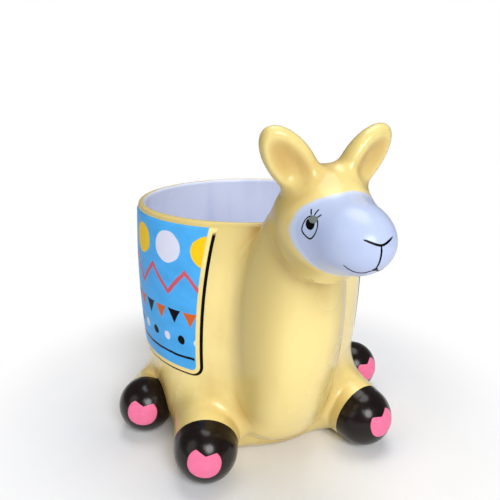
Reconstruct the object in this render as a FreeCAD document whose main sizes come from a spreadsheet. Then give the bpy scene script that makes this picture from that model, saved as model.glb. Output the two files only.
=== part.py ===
"""Utensil crock in the shape of a llama: a round pot with cast neck, head, ears, legs and tail stuck on."""
import FreeCAD, Part
import math
import os
import Sketcher

# Sizes in millimetres and degrees. X is the animal's left, it faces -Y, Z is up and the pot's axis.
SIZES = {
    # pot; the heel's arc is how far it bows out from a straight line
    "base_radius": 53.3, "heel_arc": 3.81, "heel_height": 13.4, "heel_wall_radius": 69.1,
    "wall_arc": 600.0, "rim_radius": 75.2, "rim_height": 157.0, "lip_thickness": 4.6,
    "wall_thickness": 5.0, "floor_thickness": 7.0, "floor_corner": 12.0,
    # wall of the hollow cast pieces, and the height at which everything but the base ends
    "cast_wall": 5.0, "floor_clearance": 0.6,
    # neck and chest: half width and half depth of each oval, and its height and lead over the oval below it;
    # the lowest oval's height is above the floor, and its lead over the heel's wall is backwards
    "chest_height_1": 1.5, "chest_ahead_1": -33.1, "chest_width_1": 23.5, "chest_depth_1": 21.0,
    "chest_height_2": 10.5, "chest_ahead_2": 9.0, "chest_width_2": 28.5, "chest_depth_2": 26.0,
    "chest_height_3": 18.0, "chest_ahead_3": 9.0, "chest_width_3": 32.0, "chest_depth_3": 28.5,
    "chest_height_4": 30.0, "chest_ahead_4": 10.0, "chest_width_4": 33.0, "chest_depth_4": 31.0,
    "chest_height_5": 40.0, "chest_ahead_5": 7.5, "chest_width_5": 33.0, "chest_depth_5": 31.5,
    "chest_height_6": 30.0, "chest_ahead_6": 5.0, "chest_width_6": 30.0, "chest_depth_6": 29.0,
    "chest_height_7": 20.0, "chest_ahead_7": 9.5, "chest_width_7": 26.0, "chest_depth_7": 21.0,
    "chest_height_8": 15.0, "chest_ahead_8": 8.5, "chest_width_8": 22.3, "chest_depth_8": 17.5,
    "chest_height_9": 13.0, "chest_ahead_9": 9.5, "chest_width_9": 17.5, "chest_depth_9": 12.5,
    # head: skull and muzzle, each an ellipsoid, the skull with its jaw tilted forwards. The skull is placed
    # from the neck's seventh oval, the muzzle, the face's line and the ears from the skull, the air hole from
    # the eighth oval. The face starts ahead of two upright planes that meet at the brow.
    "skull_ahead": 26.0, "skull_height": 14.8, "skull_half_width": 25.0, "skull_half_depth": 24.5,
    "skull_half_height": 29.3, "skull_tilt": 24.0, "muzzle_ahead": 21.5, "muzzle_height": 0.2,
    "muzzle_half_width": 18.6, "muzzle_half_depth": 27.8, "muzzle_half_height": 17.2,
    "face_line_ahead": 24.5, "face_line_turn": 31.0, "vent_radius": 4.0, "vent_ahead": 4.5,
    # ears
    "ear_side": 18.6, "ear_ahead": -0.5, "ear_height": 30.2, "ear_half_width": 10.8, "ear_half_depth": 8.2,
    "ear_half_length": 20.0, "ear_lean": 39.0, "ear_turn": 20.0, "dish_half_width": 7.6,
    "dish_half_depth": 7.0, "dish_half_length": 14.5, "dish_ahead": 9.6, "dish_rise": 2.5,
    # legs, hooves and sole pads; a hoof stands out from the heel's wall at the leg's bearing
    "front_leg_bearing": 35.9, "front_hoof_side": 13.0, "front_hoof_ahead": 18.0, "front_hoof_radius": 19.2,
    "front_leg_length": 40.0, "front_leg_radius": 23.5, "front_leg_splay": 17.5, "front_leg_drop": 9.0,
    "rear_leg_bearing": 80.8, "rear_hoof_side": 12.3, "rear_hoof_ahead": 2.0, "rear_hoof_radius": 18.3,
    "rear_leg_length": 38.0, "rear_leg_radius": 15.0, "rear_leg_splay": 24.0, "rear_leg_drop": -5.0,
    "hoof_back": 4.0, "pad_depth": 1.2, "pad_relief": 0.5, "pad_lobe": 6.4, "pad_lobe_gap": 9.4,
    "pad_lobe_rise": 1.6, "pad_heel": 8.8, "pad_heel_drop": 0.5, "pad_notch": 6.5, "pad_notch_rise": 11.5,
    "pad_tilt": 12.0, "pad_splay": 17.0, "pad_roll": 11.0,
    # blankets in relief on the flanks: the top edge is below the lip, the bottom edge above the heel;
    # the front and back edges lie ahead of and behind the pot's axis, the left one's front edge further back
    "blanket_relief": 0.8, "blanket_seat": 0.1, "blanket_top": 0.6, "blanket_bottom": 43.0,
    "blanket_top_half": 63.6, "blanket_bottom_half": 56.3, "blanket_corner": 9.0,
    "left_blanket_top_front": 38.0, "left_blanket_bottom_front": 34.0,
    # tail, standing out from the rim's radius
    "tail_behind": 3.8, "tail_height": 104.0, "tail_half_width": 10.5, "tail_half_depth": 9.0,
    "tail_half_height": 19.0, "tail_lean": 14.0,
}

doc = FreeCAD.newDocument("crock")
sheet = doc.addObject("Spreadsheet::Sheet", "sizes")
for row, (alias, value) in enumerate(SIZES.items(), 1):
    sheet.set("A%d" % row, alias)
    sheet.set("B%d" % row, repr(value))
    sheet.setAlias("B%d" % row, alias)
# Points and places that follow from the sizes above.
FOLLOWS = {
    "heel_radius": "(((heel_wall_radius - base_radius)^2 + heel_height^2) / 4 + heel_arc^2) / (2 * heel_arc)",
    "lip_height": "rim_height - lip_thickness / 2",
    "lip_middle": "rim_radius - lip_thickness / 2",
    "inner_rim_radius": "rim_radius - lip_thickness",
    "inner_wall_radius": "heel_wall_radius - wall_thickness",
    "inner_floor_radius": "heel_wall_radius - wall_thickness - floor_corner",
    "inner_wall_height": "floor_thickness + floor_corner",
    "blanket_low_radius": "heel_wall_radius + blanket_relief",
    "blanket_high_radius": "rim_radius + blanket_relief",
    "seat_low_radius": "heel_wall_radius + blanket_seat",
    "seat_high_radius": "rim_radius + blanket_seat",
    "blanket_foot": "heel_height + blanket_bottom",
    "blanket_head": "lip_height - blanket_top",
    "chest_level_1": "chest_height_1",
    "chest_reach_1": "heel_wall_radius + chest_ahead_1",
}
for n in range(2, 10):
    FOLLOWS["chest_level_%d" % n] = "chest_level_%d + chest_height_%d" % (n - 1, n)
    FOLLOWS["chest_reach_%d" % n] = "chest_reach_%d + chest_ahead_%d" % (n - 1, n)
FOLLOWS.update({
    "skull_level": "chest_level_7 + skull_height",
    "skull_reach": "chest_reach_7 + skull_ahead",
    "muzzle_level": "skull_level + muzzle_height",
    "muzzle_reach": "skull_reach + muzzle_ahead",
    "head_span": "8 * skull_half_depth",
})
# Along a leg, distances run from the round end of its root, inside the pot, out to the hoof's tip.
for end in ("front", "rear"):
    FOLLOWS.update({
        end + "_hoof_height": "%s_hoof_radius + floor_clearance" % end,
        end + "_hoof_out": "heel_wall_radius * sin(%s_leg_bearing * 1deg) + %s_hoof_side" % (end, end),
        end + "_hoof_reach": "heel_wall_radius * cos(%s_leg_bearing * 1deg) + %s_hoof_ahead" % (end, end),
        end + "_hoof_middle": "%s_leg_radius + %s_leg_length" % (end, end),
        end + "_hoof_start": "%s_leg_radius + %s_leg_length - hoof_back" % (end, end),
        end + "_hoof_tip": "%s_leg_radius + %s_leg_length + %s_hoof_radius" % (end, end, end),
        end + "_cavity_tip": "%s_leg_radius + %s_leg_length + %s_hoof_radius - cast_wall" % (end, end, end),
        end + "_cavity_radius": "%s_hoof_radius - cast_wall" % end,
        end + "_root_cavity": "%s_leg_radius - cast_wall" % end,
        end + "_hoof_back_radius": "%s_hoof_radius + (%s_leg_radius - %s_hoof_radius)"
                                   " * hoof_back / %s_leg_length" % (end, end, end, end),
    })
    FOLLOWS[end + "_back_cavity"] = "%s_hoof_back_radius - cast_wall" % end
for row, (alias, text) in enumerate(FOLLOWS.items(), len(SIZES) + 2):
    sheet.set("A%d" % row, alias)
    sheet.set("B%d" % row, "=" + text)
    sheet.setAlias("B%d" % row, alias)
doc.recompute()


def size(alias):
    return float(sheet.get(alias))


def bind(obj, **expressions):
    for path, text in expressions.items():
        obj.setExpression(path.replace("__", "."), text)
    return obj


def tool(kind, name, **expressions):
    """A primitive or boolean that is not a piece of its own."""
    return bind(doc.addObject("Part::" + kind, name), **expressions)


def cut(name, base, *others):
    """The base without each of the others in turn."""
    for n, other in enumerate(others):
        step = doc.addObject("Part::Cut", name if n == len(others) - 1 else "%s_step_%d" % (name, n))
        step.Base = base
        step.Tool = other
        base = step
    return base


def common(name, base, other):
    both = doc.addObject("Part::Common", name)
    both.Base = base
    both.Tool = other
    return both


def fuse(name, *shapes):
    joined = doc.addObject("Part::MultiFuse", name)
    joined.Shapes = list(shapes)
    return joined


def mirrored(name, source):
    other = doc.addObject("Part::Mirroring", name)
    other.Source = source
    other.Normal = FreeCAD.Vector(1, 0, 0)
    return other


def bowed(a, b, radius):
    """Middle point of the arc of this radius from a to b; a negative radius bows to the other side."""
    chord = b - a
    half = chord.Length / 2
    bow = abs(radius) - math.sqrt(radius * radius - half * half)
    across = FreeCAD.Vector(chord.y, -chord.x, 0).normalize()
    return (a + b) * 0.5 + across * math.copysign(bow, radius)


def profile(body, plane, name, corners, arcs, rounds=()):
    """A closed outline through corners named by pairs of aliases (None is the axis). arcs gives the alias of
    the radius of an edge with the side that it bows to; an edge in rounds is a half round about the corners'
    own height."""
    sketch = body.newObject("Sketcher::SketchObject", name)
    sketch.AttachmentSupport = [(next(f for f in body.Origin.OriginFeatures if f.Role == plane), "")]
    sketch.MapMode = "FlatFace"
    at = [FreeCAD.Vector(size(x) if x else 0, size(y) if y else 0, 0) for x, y in corners]
    for i, a in enumerate(at):
        b = at[(i + 1) % len(at)]
        if i in arcs:
            alias, side = arcs[i]
            middle = bowed(a, b, side * size(alias))
        elif i in rounds:
            middle = (a + b) * 0.5 + FreeCAD.Vector(0, a.distanceToPoint(b) / 2, 0)
        else:
            sketch.addGeometry(Part.LineSegment(a, b), False)
            continue
        # An arc of a sketch runs anticlockwise, so it may start at either corner.
        start, end = (a, b) if (middle - a).cross(b - middle).z > 0 else (b, a)
        sketch.addGeometry(Part.ArcOfCircle(start, middle, end), False)
    ends = []
    for i, g in enumerate(sketch.Geometry):
        ends.append((1, 2) if g.StartPoint.distanceToPoint(at[i]) < 1e-6 else (2, 1))
    for i in range(len(at)):
        j = (i + 1) % len(at)
        sketch.addConstraint(Sketcher.Constraint("Coincident", i, ends[i][1], j, ends[j][0]))
    for i, (x, y) in enumerate(corners):
        point = ends[i][0]
        for axis, alias, value in (("DistanceX", x, at[i].x), ("DistanceY", y, at[i].y)):
            if alias is None:
                line = -2 if axis == "DistanceX" else -1
                sketch.addConstraint(Sketcher.Constraint("PointOnObject", i, point, line))
            else:
                number = sketch.addConstraint(Sketcher.Constraint(axis, -1, 1, i, point, value))
                sketch.setExpression("Constraints[%d]" % number, "sizes." + alias)
    for i, (alias, side) in arcs.items():
        number = sketch.addConstraint(Sketcher.Constraint("Radius", i, size(alias)))
        sketch.setExpression("Constraints[%d]" % number, "sizes." + alias)
    for i in rounds:
        number = sketch.addConstraint(Sketcher.Constraint("DistanceY", -1, 1, i, 3, at[i].y))
        sketch.setExpression("Constraints[%d]" % number, "sizes." + corners[i][1])
    return sketch


def turned(name, corners, arcs, rounds=()):
    """A body turned about its own Z axis."""
    body = doc.addObject("PartDesign::Body", name)
    sketch = profile(body, "XZ_Plane", name + "_profile", corners, arcs, rounds)
    turn = body.newObject("PartDesign::Revolution", name + "_turn")
    turn.Profile = sketch
    turn.ReferenceAxis = (sketch, ["V_Axis"])
    turn.Angle = 360
    sketch.Visibility = False
    return body


# Pot, and the same outside filled up, which the other pieces are fitted against.
OUTSIDE = [(None, None), ("base_radius", None), ("heel_wall_radius", "heel_height"),
           ("rim_radius", "lip_height")]
pot = turned("pot", OUTSIDE + [("inner_rim_radius", "lip_height"), ("inner_wall_radius", "inner_wall_height"),
                               ("inner_floor_radius", "floor_thickness"), (None, "floor_thickness")],
             {1: ("heel_radius", 1), 2: ("wall_arc", 1), 4: ("wall_arc", -1), 5: ("floor_corner", -1)}, (3,))
filled = turned("pot_filled", OUTSIDE + [("lip_middle", "rim_height"), (None, "rim_height")],
                {1: ("heel_radius", 1), 2: ("wall_arc", 1)})
floor = tool("Box", "floor", Length="8 * sizes.rim_radius", Width="8 * sizes.rim_radius",
             Height="sizes.rim_radius + sizes.floor_clearance", Placement__Base__x="-4 * sizes.rim_radius",
             Placement__Base__y="-4 * sizes.rim_radius", Placement__Base__z="-sizes.rim_radius")
ring = tool("Circle", "ring", Radius="1")


def column(name, inset):
    """The neck and chest as a loft through level ovals, each smaller by the inset."""
    ovals = []
    for n in range(1, 10):
        rise = " + sizes.cast_wall" if inset and n == 1 else ""
        less = " - sizes.cast_wall" if inset else ""
        oval = tool("Scale", "%s_oval_%d" % (name, n), XScale="sizes.chest_width_%d%s" % (n, less),
                    YScale="sizes.chest_depth_%d%s" % (n, less),
                    Placement__Base__y="-sizes.chest_reach_%d" % n,
                    Placement__Base__z="sizes.chest_level_%d%s" % (n, rise))
        oval.Base = ring
        oval.Uniform = False
        oval.ZScale = 1
        ovals.append(oval)
    loft = doc.addObject("Part::Loft", name)
    loft.Sections = ovals
    loft.Solid = True
    loft.Ruled = False
    return loft


def head_volume(name, less):
    """The skull and the muzzle joined, each smaller by the inset."""
    balls = []
    for part, tilt in (("skull", "-sizes.skull_tilt"), ("muzzle", "0")):
        place = ("placement(vector(0; -sizes.{0}_reach; sizes.{0}_level);"
                 " rotation(vector(1; 0; 0); {1}))").format(part, tilt)
        half = "sizes." + part + "_half_%s" + less
        balls.append(tool("Ellipsoid", "%s_%s" % (name, part), Radius1=half % "height",
                          Radius2=half % "width", Radius3=half % "depth", Placement=place))
    return fuse(name, *balls)


chest_outside = column("chest_outside", False)
chest_inside = column("chest_inside", True)
head_outside = head_volume("head_outside", "")
head_inside = head_volume("head_inside", " - sizes.cast_wall")
chest = cut("chest", chest_outside, chest_inside, filled, head_outside)

# Head: hollow, with an air hole down into the neck, divided along the line where the face begins.
vent = tool("Cylinder", "vent", Radius="sizes.vent_radius", Height="sizes.skull_half_height",
            Placement__Base__y="-sizes.chest_reach_8 - sizes.vent_ahead",
            Placement__Base__z="sizes.skull_level - sizes.skull_half_height - sizes.cast_wall")
shell = cut("head_shell", head_outside, head_inside, vent)


def behind(name, sign):
    """Everything behind one of the two planes that part the face from the head."""
    return tool("Box", name, Length="2 * sizes.head_span", Width="sizes.head_span", Height="sizes.head_span",
                Placement="placement(vector(0; -sizes.skull_reach - sizes.face_line_ahead;"
                          " sizes.skull_level - sizes.head_span / 2);"
                          " rotation(vector(0; 0; 1); %s sizes.face_line_turn)) *"
                          " placement(vector(-sizes.head_span; 0; 0); rotation(0; 0; 0))" % sign)


head_zone = common("head_zone", behind("behind_left", ""), behind("behind_right", "-"))
head = common("head", shell, head_zone)
face = cut("face", shell, head_zone)

# Ears: a flattened ball leaning out, hollowed at the front and turned a little outwards.
EAR = ("placement(vector(sizes.ear_side; -sizes.skull_reach - sizes.ear_ahead;"
       " sizes.skull_level + sizes.ear_height);"
       " rotation(vector(0; 1; 0); sizes.ear_lean) * rotation(vector(0; 0; 1); sizes.ear_turn))")
ear_ball = tool("Ellipsoid", "ear_ball", Radius1="sizes.ear_half_length", Radius2="sizes.ear_half_width",
                Radius3="sizes.ear_half_depth", Placement=EAR)
ear_dish = tool("Ellipsoid", "ear_dish", Radius1="sizes.dish_half_length", Radius2="sizes.dish_half_width",
                Radius3="sizes.dish_half_depth",
                Placement=EAR + " * placement(vector(0; -sizes.dish_ahead; sizes.dish_rise);"
                                " rotation(0; 0; 0))")
left_ear = cut("left_ear", ear_ball, ear_dish, head_outside)
right_ear = mirrored("right_ear", left_ear)

pieces = [pot, chest, head, face, left_ear, right_ear]


def limb(end):
    """One leg, its hoof and the hoof's sole pad on the animal's left, and their mirror images."""
    leg_axis = ("rotation(vector(0; 0; 1); sizes.{0}_leg_splay) *"
                " rotation(vector(1; 0; 0); 90 + sizes.{0}_leg_drop)").format(end)
    hoof_at = "vector(sizes.{0}_hoof_out; -sizes.{0}_hoof_reach; sizes.{0}_hoof_height)".format(end)
    root = "placement(%s; %s) * placement(vector(0; 0; -sizes.%s_hoof_middle); rotation(0; 0; 0))" % (
        hoof_at, leg_axis, end)

    def named(word):
        return end + "_" + word

    leg_body = bind(turned(named("leg_body"), [
        (None, None), (named("leg_radius"), named("leg_radius")),
        (named("hoof_back_radius"), named("hoof_start")), (named("back_cavity"), named("hoof_start")),
        (named("root_cavity"), named("leg_radius")), (None, "cast_wall")],
        {0: (named("leg_radius"), 1), 4: (named("root_cavity"), -1)}), Placement=root)
    hoof_body = bind(turned(named("hoof_body"), [
        (named("back_cavity"), named("hoof_start")), (named("hoof_back_radius"), named("hoof_start")),
        (named("hoof_radius"), named("hoof_middle")), (None, named("hoof_tip")), (None, named("cavity_tip")),
        (named("cavity_radius"), named("hoof_middle"))],
        {2: (named("hoof_radius"), 1), 4: (named("cavity_radius"), -1)}), Placement=root)

    # The pad is a thin cap let into the sole, in the outline of two lobes and a round heel with a notch
    # on top, rolled so that the outer lobe is the higher one.
    sole = ("placement(%s; rotation(vector(0; 0; 1); sizes.pad_splay) *"
            " rotation(vector(1; 0; 0); 90 - sizes.pad_tilt) *"
            " rotation(vector(0; 0; 1); sizes.pad_roll))" % hoof_at)

    def post(word, x, y, radius):
        return tool("Cylinder", named(word), Radius=radius, Height="3 * sizes.%s_hoof_radius" % end,
                    Placement=sole + " * placement(vector(%s; %s; 0); rotation(0; 0; 0))" % (x, y))

    lobes = fuse(named("pad_lobes"),
                 post("pad_lobe_out", "sizes.pad_lobe_gap / 2", "sizes.pad_lobe_rise", "sizes.pad_lobe"),
                 post("pad_lobe_in", "-sizes.pad_lobe_gap / 2", "sizes.pad_lobe_rise", "sizes.pad_lobe"),
                 post("pad_heel", "0", "-sizes.pad_heel_drop", "sizes.pad_heel"))
    notch = post("pad_notch", "0", "sizes.pad_notch_rise", "sizes.pad_notch")
    outline = cut(named("pad_outline"), lobes, notch)
    over = tool("Sphere", named("pad_over"), Radius="sizes.%s_hoof_radius + sizes.pad_relief" % end,
                Placement="placement(%s; rotation(0; 0; 0))" % hoof_at)
    under = tool("Sphere", named("pad_under"), Radius="sizes.%s_hoof_radius - sizes.pad_depth" % end,
                 Placement="placement(%s; rotation(0; 0; 0))" % hoof_at)
    left_pad = common(end + "_left_pad", cut(named("pad_cap"), over, under), outline)
    left_hoof = cut(end + "_left_hoof", hoof_body, left_pad, filled)
    left_leg = cut(end + "_left_leg", leg_body, filled, chest_outside, floor)
    for piece in (left_leg, left_hoof, left_pad):
        pieces.extend((piece, mirrored(piece.Name.replace("_left_", "_right_"), piece)))


limb("front")
limb("rear")

# Blankets: a thin skin of the pot's wall inside an outline seen from the side, narrower at the bottom.


def jacket(name, low_radius, high_radius):
    """A solid as round as the pot's wall, from the heel up to the lip."""
    return turned(name, [(None, "heel_height"), (low_radius, "heel_height"), (high_radius, "lip_height"),
                         (None, "lip_height")], {1: ("wall_arc", 1)})


skin = cut("skin", jacket("jacket", "blanket_low_radius", "blanket_high_radius"),
           jacket("jacket_seat", "seat_low_radius", "seat_high_radius"))


def blanket(name, bottom_front, top_front):
    """The skin inside one outline, on the left flank."""
    body = doc.addObject("PartDesign::Body", name + "_body")
    side = body.newObject("Sketcher::SketchObject", name + "_outline")
    side.AttachmentSupport = [(next(f for f in body.Origin.OriginFeatures if f.Role == "YZ_Plane"), "")]
    side.MapMode = "FlatFace"
    low, high = size("blanket_foot"), size("blanket_head")
    corners = [FreeCAD.Vector(along, level, 0) for along, level in (
        (-size(bottom_front), low), (size("blanket_bottom_half"), low),
        (size("blanket_top_half"), high), (-size(top_front), high))]
    for i, a in enumerate(corners):
        side.addGeometry(Part.LineSegment(a, corners[(i + 1) % 4]), False)
    for i in range(4):
        side.addConstraint(Sketcher.Constraint("Coincident", i, 2, (i + 1) % 4, 1))
    for i in (0, 2):
        side.addConstraint(Sketcher.Constraint("Horizontal", i))

    def pin(kind, alias, *ends):
        """Holds a corner of the outline at a named distance from the axes."""
        number = side.addConstraint(Sketcher.Constraint(kind, *ends, size(alias)))
        side.setExpression("Constraints[%d]" % number, "sizes." + alias)

    pin("DistanceX", bottom_front, 0, 1, -1, 1)
    pin("DistanceX", "blanket_bottom_half", -1, 1, 0, 2)
    pin("DistanceX", "blanket_top_half", -1, 1, 2, 1)
    pin("DistanceX", top_front, 2, 2, -1, 1)
    pin("DistanceY", "blanket_foot", -1, 1, 0, 2)
    pin("DistanceY", "blanket_head", -1, 1, 2, 1)
    panel = body.newObject("PartDesign::Pad", name + "_panel")
    panel.Profile = side
    bind(panel, Length="sizes.heel_wall_radius + sizes.rim_radius")
    side.Visibility = False
    doc.recompute()
    lower = ["Edge%d" % n for n, e in enumerate(panel.Shape.Edges, 1)
             if e.BoundBox.XLength > size("rim_radius") and e.BoundBox.ZMax < (low + high) / 2]
    rounding = body.newObject("PartDesign::Fillet", name + "_rounding")
    rounding.Base = (panel, lower)
    bind(rounding, Radius="sizes.blanket_corner")
    return common(name, skin, body)


pieces.append(blanket("left_blanket", "left_blanket_bottom_front", "left_blanket_top_front"))
pieces.append(mirrored("right_blanket", blanket("full_blanket", "blanket_bottom_half", "blanket_top_half")))

# Tail: a small upright tuft on the pot's back.
tail_ball = tool("Ellipsoid", "tail_ball", Radius1="sizes.tail_half_height", Radius2="sizes.tail_half_width",
                 Radius3="sizes.tail_half_depth",
                 Placement="placement(vector(0; sizes.rim_radius + sizes.tail_behind; sizes.tail_height);"
                           " rotation(vector(1; 0; 0); -sizes.tail_lean))")
pieces.append(cut("tail", tail_ball, filled))

doc.recompute()
for obj in doc.Objects:
    if "Invalid" in obj.State or "Error" in obj.State:
        raise RuntimeError("%s is not valid: %s" % (obj.Name, obj.State))
os.makedirs("parts", exist_ok=True)
for piece in pieces:
    piece.Label = piece.Name
    shape = piece.Shape
    if shape.isNull() or not shape.isValid() or len(shape.Solids) != 1:
        raise RuntimeError("%s has no single valid solid" % piece.Label)
    shape.exportStep("parts/%s.step" % piece.Label)
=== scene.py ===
"""Looks of a llama-shaped utensil crock in painted, glazed earthenware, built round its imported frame."""
import math
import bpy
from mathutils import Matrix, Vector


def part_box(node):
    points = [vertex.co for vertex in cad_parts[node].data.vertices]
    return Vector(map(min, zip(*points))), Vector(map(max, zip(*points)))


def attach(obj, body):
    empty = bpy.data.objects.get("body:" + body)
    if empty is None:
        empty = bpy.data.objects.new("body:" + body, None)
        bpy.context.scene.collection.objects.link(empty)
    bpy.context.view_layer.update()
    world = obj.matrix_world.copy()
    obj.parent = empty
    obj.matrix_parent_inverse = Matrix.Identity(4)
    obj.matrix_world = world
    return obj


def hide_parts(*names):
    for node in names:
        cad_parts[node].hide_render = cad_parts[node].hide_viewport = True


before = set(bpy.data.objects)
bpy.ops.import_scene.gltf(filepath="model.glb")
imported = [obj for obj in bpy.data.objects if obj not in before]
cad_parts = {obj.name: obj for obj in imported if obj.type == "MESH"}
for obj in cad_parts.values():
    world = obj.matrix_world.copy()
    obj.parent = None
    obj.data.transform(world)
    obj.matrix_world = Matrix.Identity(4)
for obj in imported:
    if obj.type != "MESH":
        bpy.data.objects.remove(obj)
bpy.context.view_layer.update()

from types import SimpleNamespace

import bpy
import numpy as np
import openvdb
from bpy.props import FloatProperty, FloatVectorProperty, PointerProperty
from mathutils import Matrix

bl_info = {
    "name": "Llama Crock",
    "version": (1, 0, 0),
    "blender": (4, 5, 0),
    "location": "View3D > Sidebar > Crock",
    "description": "Models, paints and glazes a llama-shaped utensil crock",
    "category": "Add Mesh",
}

MM = 1000.0
SIDES = {"left": 1, "right": -1}
ENDS = ("front", "rear")
UP = (0.0, 0.0, 1.0)
WHITE = (1.0, 1.0, 1.0)

# Meshes, in millimetres: the distance over which a form's slope is taken, how far a skin runs on past its
# fillet, how deep its feather edge sinks, and the box and step in which each form is meshed.
SLOPE_STEP, RUN_ON, TUCK = 0.12, 1.4, 0.05
GRIDS = {
    "chest": ((-66, -112, -1.5), (66, -22, 186), 1.2),
    "head": ((-33, -168, 118), (33, -64, 201), 0.9),
    "ears": ((-14, -140, 160), (48, -84, 218), 0.7),
    "tail": ((-26, 60, 70), (26, 95, 138), 0.9),
}
LEG_BOX, LEG_STEP = ((46, 24, 22), (32, 62, 46)), 1.0

# Glaze, with painted shade and highlights: how far from the surface a hollow, where glaze pools and shade is
# painted, is felt for and with what weight, the probes round a point, and how deep an edge is felt for; then the
# share of the flanks' painted shade, and how much lighter thin glaze is, which on the yellow also paints highlights
# on edges.
PROBES, PROBE_COUNT, EDGE_DEPTH = ((5.0, 0.7), (17.0, 0.5)), 5, 3.5
FLANK_SHADE, THIN_GLAZE_AND_HIGHLIGHT = 0.85, 1.12

# The right eye, its lashes and lid, the nose and the mouth, as lines and dabs of paint near the face's surface.
EYE = ((-20.1, -129.5, 168.3), (-19.7, -131.6, 166.3), (-18.8, -135.5, 165.4), (-18.1, -138.1, 168.1),
       (-17.0, -138.1, 171.5), (-16.4, -135.6, 174.0), (-17.3, -131.9, 174.5), (-18.9, -129.9, 172.6))
PUPIL = ((-18.2, -133.4, 171.4), (0.9, -2.65, 0.5), (0.4, 1.2, 2.5))
LASHES = (((-16.9, -131.6, 174.9), (-16.8, -130.6, 176.2), (-16.4, -129.8, 177.4)),
          ((-16.4, -133.2, 174.8), (-15.4, -133.2, 176.5), (-14.3, -133.4, 177.8)),
          ((-16.0, -135.4, 174.4), (-15.4, -136.0, 175.3), (-14.6, -136.6, 176.0)))
LID = ((-17.1, -133.9, 173.4), (1.0, -2.35, 0.5), (0.45, 1.05, 1.5))
HALF_NOSE = ((-6.9, -158.4, 170.2), (-4.4, -159.6, 169.1), (-2.0, -160.6, 168.2), (0.0, -160.9, 167.8))
CLEFT = ((0, -161.0, 168.2), (0, -161.2, 163.9), (0, -159.9, 159.7), (0, -157.6, 156.3))
HALF_MOUTH = ((-12.2, -152.4, 158.0), (-9.9, -153.0, 156.1), (-6.9, -153.7, 154.8), (-3.9, -155.0, 154.6),
              (-1.8, -156.6, 155.6), (0.0, -157.6, 156.5))
LIP = ((0, -157.7, 156.6), (1.35, 0, 0), (0, -0.5, 1.15))

# A brush line: shares of its half width with heights over the surface, and how blunt its ends are.
STROKE_PROFILE = ((1.0, -0.06), (0.7, 0.05), (0.0, 0.08), (-0.7, 0.05), (-1.0, -0.06), (0.0, -0.3))
BLUNT = 0.35

# The blankets' rows of motifs in millimetres: pitch and start round the wall, heights and half sizes.
DOTS = SimpleNamespace(pitch=27.96, start=13.98, height=139.0, across=10.2, tall=9.6)
ZIGZAG = SimpleNamespace(low=110.8, rise=14.7, run=13.98, slant=0.69, half=1.25)
PENNANTS = SimpleNamespace(pitch=12.1, start=-58.5, tip=91.2, tall=9.2, half=5.05)
BEADS = SimpleNamespace(pitch=12.1, start=-50.6, height=80.8, across=2.8, tall=2.9)
STRIPE = SimpleNamespace(height=69.6, half=0.85)

# Lamps: place, aim, width and height in metres, and power in watts.
LAMPS = {
    "key_softbox": ((0.0, -1.4, 1.0), (0, -0.05, 0.1), 0.8, 0.8, 18.0),
    "left_softbox": ((-1.35, -0.35, 0.8), (0, 0, 0.1), 0.9, 1.2, 3.0),
    "top_softbox": ((0.2, 0.2, 1.7), (0, 0, 0.1), 1.1, 1.1, 12.0),
    "spark": ((-0.35, -0.95, 0.95), (0, -0.05, 0.12), 0.1, 0.3, 0.7),
}
CAMERA_PLACE, CAMERA_AZIMUTH, CAMERA_PITCH = (-0.1124, -0.3281, 0.2268), -0.33, 0.3032
SENSOR, LENS = 36.0, 36.92


def srgb(red, green, blue):
    """A colour as it is seen, in steps from 0 to 255, as linear light."""
    seen = [channel / 255 for channel in (red, green, blue)]
    return tuple(c / 12.92 if c < 0.04045 else ((c + 0.055) / 1.055) ** 2.4 for c in seen)


def length(name, description, value):
    return FloatProperty(name=name, description=description, default=value / MM, unit="LENGTH", precision=5)


def angle(name, description, degrees):
    return FloatProperty(name=name, description=description, default=math.radians(degrees), subtype="ANGLE")


def lengths(name, description, *values):
    kind = "XYZ_LENGTH" if len(values) == 3 else "NONE"
    return FloatVectorProperty(name=name, description=description, default=[v / MM for v in values],
                               size=len(values), subtype=kind, unit="LENGTH", precision=5)


def colour(name, description, red, green, blue):
    return FloatVectorProperty(name=name, description=description, default=srgb(red, green, blue),
                               size=3, subtype="COLOR", min=0.0, max=1.0)


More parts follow.
